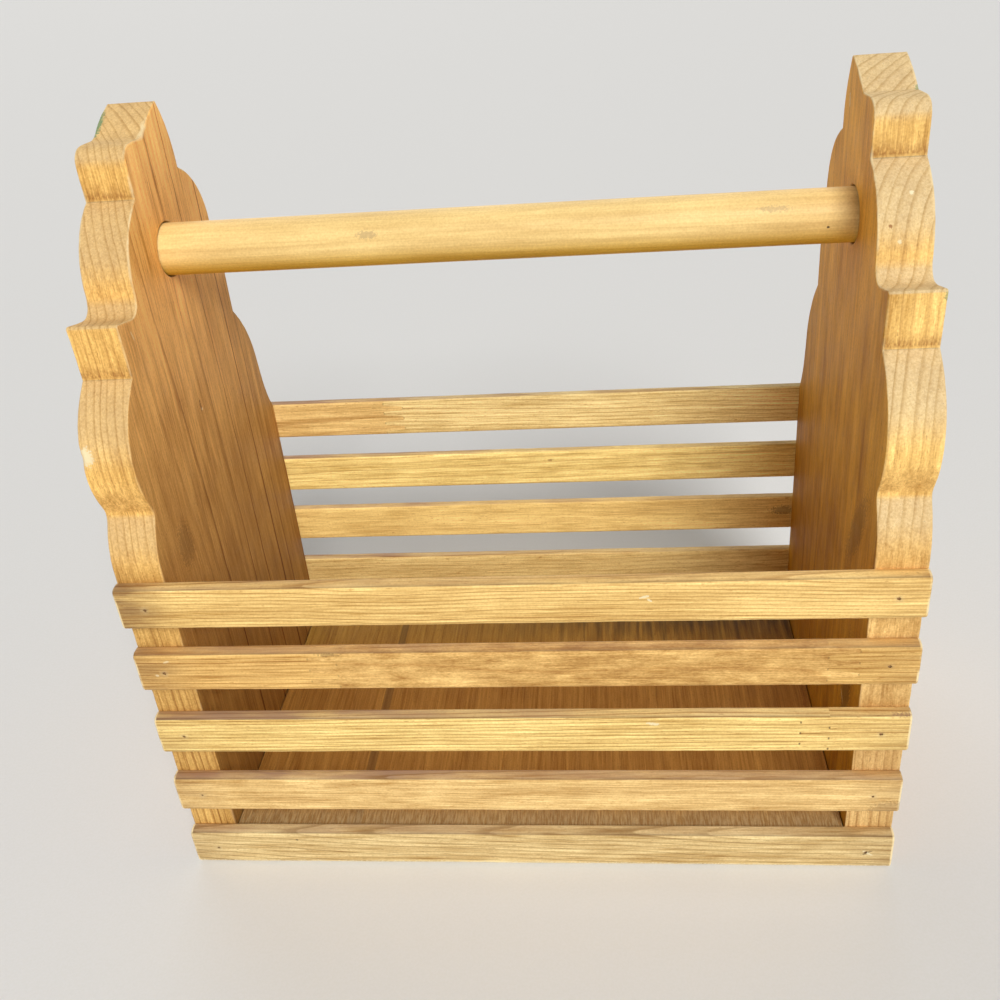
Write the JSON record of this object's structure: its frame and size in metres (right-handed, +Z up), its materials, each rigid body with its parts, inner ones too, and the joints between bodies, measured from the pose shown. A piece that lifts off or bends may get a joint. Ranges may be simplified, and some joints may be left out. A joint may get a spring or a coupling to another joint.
{
  "type": "apple crate",
  "caption": "Open wooden carrier crate with scalloped end boards, slats nailed along front and back, a flat plywood bottom and a round dowel handle between the ends.",
  "frame": {"origin": "on the floor, under the middle of the crate", "axes": "+Z up, +X along the handle to the right seen from the front, +Y from the front slats to the back slats"},
  "size_m": [0.3, 0.158, 0.3124],
  "materials": {
    "pine_board": "aged pine, thin worn varnish, paler end grain",
    "pine_slat": "aged honey pine, thin worn varnish, dirty at the ends and along the tops",
    "dowel_wood": "smooth turned hardwood, satin",
    "plywood": "worn plywood, matt",
    "nail_steel": "dull, darkened"
  },
  "bodies": {
    "root": {"end_board_left": "pine_board", "end_board_right": "pine_board", "front_slat_1": "pine_slat", "front_slat_2": "pine_slat", "front_slat_3": "pine_slat", "front_slat_4": "pine_slat", "front_slat_5": "pine_slat", "back_slat_1": "pine_slat", "back_slat_2": "pine_slat", "back_slat_3": "pine_slat", "back_slat_4": "pine_slat", "back_slat_5": "pine_slat", "bottom_panel": "plywood", "handle_dowel": "dowel_wood", "brad_front_left_1": "nail_steel", "brad_front_left_2": "nail_steel", "brad_front_left_3": "nail_steel", "brad_front_left_4": "nail_steel", "brad_front_left_5": "nail_steel", "brad_front_right_1": "nail_steel", "brad_front_right_2": "nail_steel", "brad_front_right_3": "nail_steel", "brad_front_right_4": "nail_steel", "brad_front_right_5": "nail_steel", "brad_back_left_1": "nail_steel", "brad_back_left_2": "nail_steel", "brad_back_left_3": "nail_steel", "brad_back_left_4": "nail_steel", "brad_back_left_5": "nail_steel", "brad_back_right_1": "nail_steel", "brad_back_right_2": "nail_steel", "brad_back_right_3": "nail_steel", "brad_back_right_4": "nail_steel", "brad_back_right_5": "nail_steel", "panel_nail_left_1": "nail_steel", "panel_nail_left_2": "nail_steel", "panel_nail_left_3": "nail_steel", "panel_nail_right_1": "nail_steel", "panel_nail_right_2": "nail_steel", "panel_nail_right_3": "nail_steel", "handle_nail_left": "nail_steel", "handle_nail_right": "nail_steel"}
  },
  "joints": []
}
